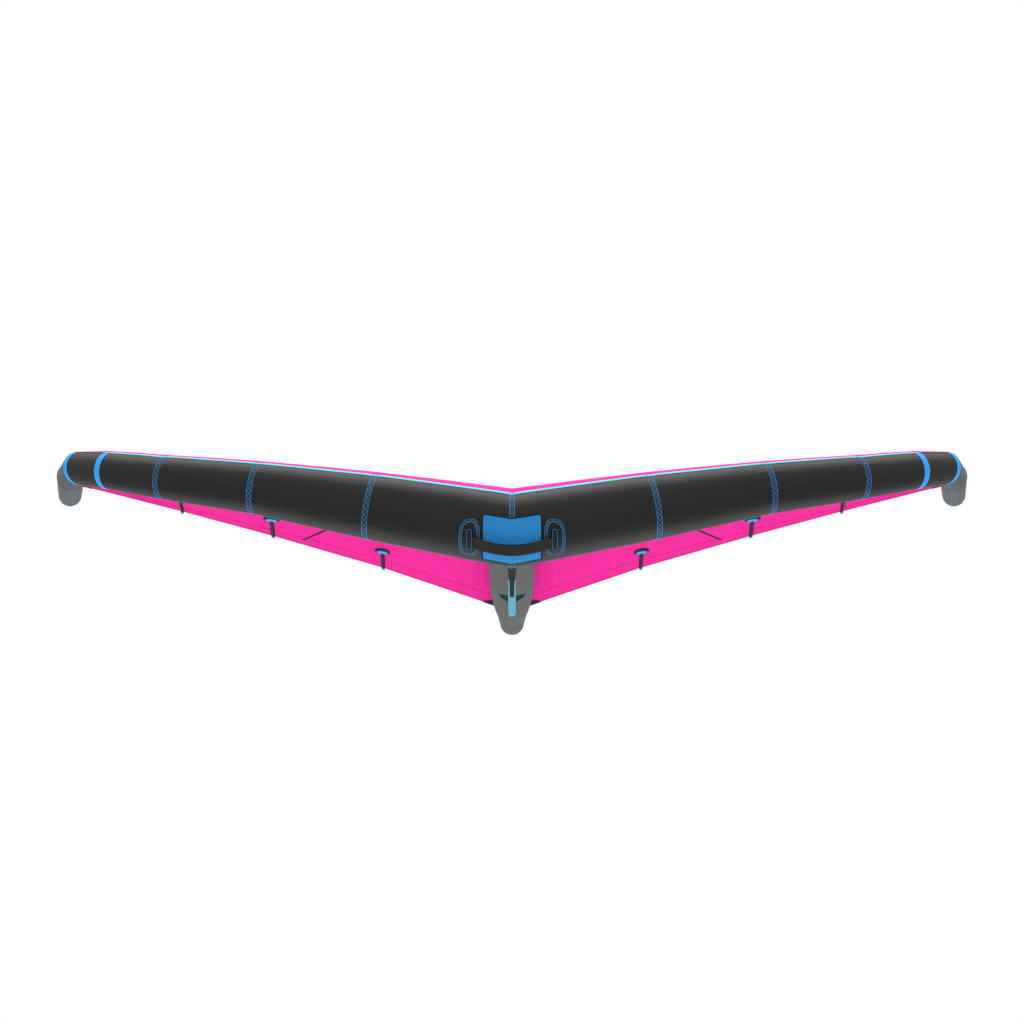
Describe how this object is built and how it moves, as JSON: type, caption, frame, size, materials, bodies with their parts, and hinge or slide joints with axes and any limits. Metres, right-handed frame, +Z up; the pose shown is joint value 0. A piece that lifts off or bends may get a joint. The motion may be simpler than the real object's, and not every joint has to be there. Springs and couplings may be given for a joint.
{
  "type": "inflatable wingfoil wing",
  "caption": "Inflatable hand wing with a tapered leading edge tube, a centre strut, a cambered canopy with battens, a webbing grab handle and inflation valves.",
  "frame": {"origin": "under the middle of the wing's bounding box, at the level of its lowest points, the belly of the leading edge tube and of the strut's end", "axes": "+X along the span to the wing's right, +Y from the leading edge back to the trailing edge, +Z up"},
  "size_m": [3.0558, 2.1952, 0.4455],
  "materials": {
    "black_dacron": "matte",
    "grey_dacron": "matte",
    "pink_ripstop": "satin",
    "pink_band": "satin",
    "blue_tape": "matte",
    "blue_patch": "matte",
    "cyan_tape": "matte",
    "cyan_strip": "matte",
    "black_webbing": "matte",
    "batten_glassfibre": "satin",
    "bladder_film": "gloss",
    "valve_plastic": "satin",
    "valve_insert_plastic": "satin"
  },
  "bodies": {
    "wing": {"le_panel_1_right": "black_dacron", "le_panel_1_left": "black_dacron", "le_panel_2_right": "black_dacron", "le_panel_2_left": "black_dacron", "le_panel_3_right": "black_dacron", "le_panel_3_left": "black_dacron", "le_panel_4_right": "black_dacron", "le_panel_4_left": "black_dacron", "le_panel_5_right": "black_dacron", "le_panel_5_left": "black_dacron", "tip_elbow_right": "grey_dacron", "tip_elbow_left": "grey_dacron", "tip_end_right": "grey_dacron", "tip_end_left": "grey_dacron", "le_wide_band_right": "blue_tape", "le_wide_band_left": "blue_tape", "le_tip_band_right": "blue_tape", "le_tip_band_left": "blue_tape", "canopy_seam_tape": "cyan_tape", "le_bladder": "bladder_film", "strut_bladder": "bladder_film", "strut_front": "grey_dacron", "strut_middle": "grey_dacron", "strut_rear": "grey_dacron", "canopy_panel_1_right": "pink_ripstop", "canopy_panel_1_left": "pink_ripstop", "canopy_panel_2_right": "pink_ripstop", "canopy_panel_2_left": "pink_ripstop", "canopy_panel_3_right": "pink_ripstop", "canopy_panel_3_left": "pink_ripstop", "canopy_panel_4_right": "pink_ripstop", "canopy_panel_4_left": "pink_ripstop", "trailing_edge_band": "pink_band", "trailing_edge_hem": "pink_ripstop", "batten_1_right": "batten_glassfibre", "batten_1_left": "batten_glassfibre", "batten_2_right": "batten_glassfibre", "batten_2_left": "batten_glassfibre", "batten_3_right": "batten_glassfibre", "batten_3_left": "batten_glassfibre", "batten_pocket_1_right": "black_webbing", "batten_pocket_1_left": "black_webbing", "batten_pocket_2_right": "black_webbing", "batten_pocket_2_left": "black_webbing", "batten_pocket_3_right": "black_webbing", "batten_pocket_3_left": "black_webbing", "chafe_patch": "blue_patch", "handle_patch_right": "black_dacron", "handle_patch_left": "black_dacron", "strut_side_patch_right": "black_webbing", "strut_side_patch_left": "black_webbing", "boom_landing_strip": "cyan_strip", "boom_tongue": "black_webbing", "le_valve_base": "valve_plastic", "strut_valve_base": "valve_plastic"},
    "front_handle": {"front_handle": "black_webbing"},
    "le_valve_insert": {"le_valve_insert": "valve_insert_plastic"},
    "le_valve_cap": {"le_valve_cap": "valve_plastic"},
    "strut_valve_insert": {"strut_valve_insert": "valve_insert_plastic"},
    "strut_valve_cap": {"strut_valve_cap": "valve_plastic"}
  },
  "joints": [
    {"name": "handle_swing", "type": "hinge", "parent": "wing", "child": "front_handle", "pos_m": [0, -1.01611, 0.07327], "axis": [-1, 0, 0], "range_deg": [-50, 42]},
    {"name": "le_insert_turn", "type": "hinge", "parent": "wing", "child": "le_valve_insert", "pos_m": [-0.25379, -0.79429, 0.14125], "axis": [0.0301, 0.9681, -0.2489], "range_deg": [0, 90]},
    {"name": "le_cap_flip", "type": "hinge", "parent": "wing", "child": "le_valve_cap", "pos_m": [-0.25368, -0.79078, 0.1135], "axis": [-0.9995, 0.0311, 0], "range_deg": [0, 150]},
    {"name": "strut_insert_turn", "type": "hinge", "parent": "wing", "child": "strut_valve_insert", "pos_m": [0.07665, -0.51159, 0.2008], "axis": [0.966, 0.0092, -0.2584], "range_deg": [0, 90]},
    {"name": "strut_cap_flip", "type": "hinge", "parent": "wing", "child": "strut_valve_cap", "pos_m": [0.07988, -0.51156, 0.17302], "axis": [-0.0095, 1, 0], "range_deg": [0, 150]}
  ]
}
